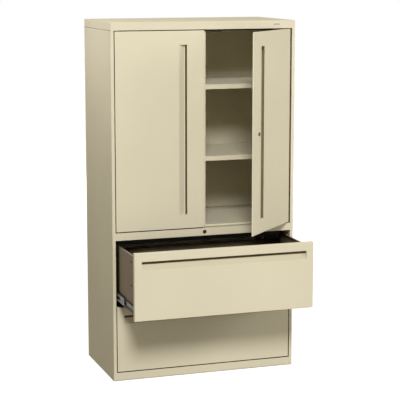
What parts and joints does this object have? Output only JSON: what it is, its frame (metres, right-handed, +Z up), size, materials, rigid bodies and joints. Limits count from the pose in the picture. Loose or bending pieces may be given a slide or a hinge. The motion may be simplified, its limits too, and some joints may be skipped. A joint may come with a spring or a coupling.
{
  "type": "filing cabinet",
  "caption": "Steel office cabinet: a shelved cupboard with hinged doors and recessed pulls above lateral filing drawers on telescopic slides, with keyed locks and a toe rail.",
  "frame": {"origin": "on the floor, under the middle of the case's width and depth", "axes": "+Z up, the fronts face -Y, +X to the right of someone facing the cabinet"},
  "size_m": [0.9144, 0.789, 1.7018],
  "materials": {
    "drawer_paint": "taupe powder coat on the drawer boxes, fine texture, dull",
    "pull_paint": "putty powder coat, a shade darker",
    "putty_paint": "putty beige powder coat, fine orange peel, satin",
    "zinc_plate": "clear zinc plate",
    "cage_nylon": "natural nylon",
    "lock_dark": "dark nickel",
    "lock_nickel": "nickel plate",
    "raw_iron": "as cast",
    "catch_plastic": "black moulded plastic"
  },
  "bodies": {
    "cabinet": {"left_side_panel": "putty_paint", "right_side_panel": "putty_paint", "back_panel": "putty_paint", "top_cap": "putty_paint", "base_rail": "putty_paint", "base_pan": "putty_paint", "middle_rail": "putty_paint", "cupboard_floor": "putty_paint", "upper_shelf": "putty_paint", "lower_shelf": "putty_paint", "shelf_standards": "putty_paint", "shelf_clips": "zinc_plate", "hinge_brackets": "zinc_plate", "slide_uprights": "putty_paint", "slide_case_members": "zinc_plate", "counterweight": "raw_iron", "drawer_lock_housing": "lock_dark", "door_catches": "catch_plastic"},
    "left_door": {"left_door_skin": "putty_paint", "left_door_liner": "putty_paint", "left_door_pull": "pull_paint", "left_door_astragal": "putty_paint", "left_door_pivots": "zinc_plate"},
    "right_door": {"right_door_skin": "putty_paint", "right_door_liner": "putty_paint", "right_door_pull": "pull_paint", "right_door_pivots": "zinc_plate", "door_lock_housing": "lock_dark"},
    "door_lock": {"door_lock_plug": "lock_nickel", "door_lock_cam": "zinc_plate"},
    "drawer_lock": {"drawer_lock_plug": "lock_nickel", "drawer_lock_cam": "zinc_plate"},
    "lock_rod": {"lock_rod": "zinc_plate"},
    "interlock_bar": {"interlock_bar": "zinc_plate"},
    "upper_drawer": {"upper_drawer_front": "putty_paint", "upper_drawer_liner": "putty_paint", "upper_drawer_pull": "pull_paint", "upper_drawer_sides": "drawer_paint", "upper_drawer_floor": "drawer_paint", "upper_drawer_back": "drawer_paint", "upper_drawer_hang_rails": "zinc_plate", "upper_slide_drawer_members": "zinc_plate"},
    "upper_slide_middle": {"upper_slide_middle_members": "zinc_plate"},
    "upper_outer_cages": {"upper_slide_outer_cages": "cage_nylon"},
    "upper_inner_cages": {"upper_slide_inner_cages": "cage_nylon"},
    "lower_drawer": {"lower_drawer_front": "putty_paint", "lower_drawer_liner": "putty_paint", "lower_drawer_pull": "pull_paint", "lower_drawer_sides": "drawer_paint", "lower_drawer_floor": "drawer_paint", "lower_drawer_back": "drawer_paint", "lower_drawer_hang_rails": "zinc_plate", "lower_slide_drawer_members": "zinc_plate"},
    "lower_slide_middle": {"lower_slide_middle_members": "zinc_plate"},
    "lower_outer_cages": {"lower_slide_outer_cages": "cage_nylon"},
    "lower_inner_cages": {"lower_slide_inner_cages": "cage_nylon"},
    "front_left_leveller": {"front_left_leveller": "zinc_plate"},
    "front_right_leveller": {"front_right_leveller": "zinc_plate"},
    "rear_left_leveller": {"rear_left_leveller": "zinc_plate"},
    "rear_right_leveller": {"rear_right_leveller": "zinc_plate"}
  },
  "joints": [
    {"name": "left_door_swing", "type": "hinge", "parent": "cabinet", "child": "left_door", "pos_m": [-0.4272, -0.2375, 0.7215], "axis": [0, 0, -1], "range_deg": [0, 110]},
    {"name": "right_door_swing", "type": "hinge", "parent": "cabinet", "child": "right_door", "pos_m": [0.4272, -0.2375, 0.7215], "axis": [0, 0, 1], "range_deg": [-45, 65]},
    {"name": "door_lock_turn", "type": "hinge", "parent": "right_door", "child": "door_lock", "pos_m": [0.18028, -0.49432, 1.19065], "axis": [-0.7071, 0.7071, 0], "range_deg": [0, 90]},
    {"name": "drawer_lock_turn", "type": "hinge", "parent": "cabinet", "child": "drawer_lock", "pos_m": [0, -0.2445, 0.6995], "axis": [0, -1, 0], "range_deg": [0, 90.05]},
    {"name": "lock_rod_shift", "type": "slide", "parent": "cabinet", "child": "lock_rod", "axis": [1, 0, 0], "range_m": [0, 0.00707]},
    {"name": "interlock_drop", "type": "slide", "parent": "cabinet", "child": "interlock_bar", "axis": [0, 0, -1], "range_m": [0, 0.00707]},
    {"name": "upper_drawer_slide", "type": "slide", "parent": "cabinet", "child": "upper_drawer", "axis": [0, -1, 0], "range_m": [-0.3, 0.106]},
    {"name": "upper_slide_middle_travel", "type": "slide", "parent": "cabinet", "child": "upper_slide_middle", "axis": [0, -1, 0], "range_m": [-0.15, 0.053]},
    {"name": "upper_outer_cages_travel", "type": "slide", "parent": "cabinet", "child": "upper_outer_cages", "axis": [0, -1, 0], "range_m": [-0.075, 0.0265]},
    {"name": "upper_inner_cages_travel", "type": "slide", "parent": "cabinet", "child": "upper_inner_cages", "axis": [0, -1, 0], "range_m": [-0.225, 0.0795]},
    {"name": "lower_drawer_slide", "type": "slide", "parent": "cabinet", "child": "lower_drawer", "axis": [0, -1, 0], "range_m": [0, 0.406]},
    {"name": "lower_slide_middle_travel", "type": "slide", "parent": "cabinet", "child": "lower_slide_middle", "axis": [0, -1, 0], "range_m": [0, 0.203]},
    {"name": "lower_outer_cages_travel", "type": "slide", "parent": "cabinet", "child": "lower_outer_cages", "axis": [0, -1, 0], "range_m": [0, 0.1015]},
    {"name": "lower_inner_cages_travel", "type": "slide", "parent": "cabinet", "child": "lower_inner_cages", "axis": [0, -1, 0], "range_m": [0, 0.3045]},
    {"name": "front_left_leveller_screw", "type": "slide", "parent": "cabinet", "child": "front_left_leveller", "axis": [0, 0, -1], "range_m": [0, 0.015]},
    {"name": "front_right_leveller_screw", "type": "slide", "parent": "cabinet", "child": "front_right_leveller", "axis": [0, 0, -1], "range_m": [0, 0.015]},
    {"name": "rear_left_leveller_screw", "type": "slide", "parent": "cabinet", "child": "rear_left_leveller", "axis": [0, 0, -1], "range_m": [0, 0.015]},
    {"name": "rear_right_leveller_screw", "type": "slide", "parent": "cabinet", "child": "rear_right_leveller", "axis": [0, 0, -1], "range_m": [0, 0.015]}
  ],
  "couplings": [
    {"joint": "drawer_lock_turn", "follows": "lock_rod_shift", "rad_per_m": 222.14},
    {"joint": "interlock_drop", "follows": "lock_rod_shift", "ratio": 1},
    {"joint": "upper_slide_middle_travel", "follows": "upper_drawer_slide", "ratio": 0.5},
    {"joint": "upper_outer_cages_travel", "follows": "upper_drawer_slide", "ratio": 0.25},
    {"joint": "upper_inner_cages_travel", "follows": "upper_drawer_slide", "ratio": 0.75},
    {"joint": "lower_slide_middle_travel", "follows": "lower_drawer_slide", "ratio": 0.5},
    {"joint": "lower_outer_cages_travel", "follows": "lower_drawer_slide", "ratio": 0.25},
    {"joint": "lower_inner_cages_travel", "follows": "lower_drawer_slide", "ratio": 0.75}
  ]
}
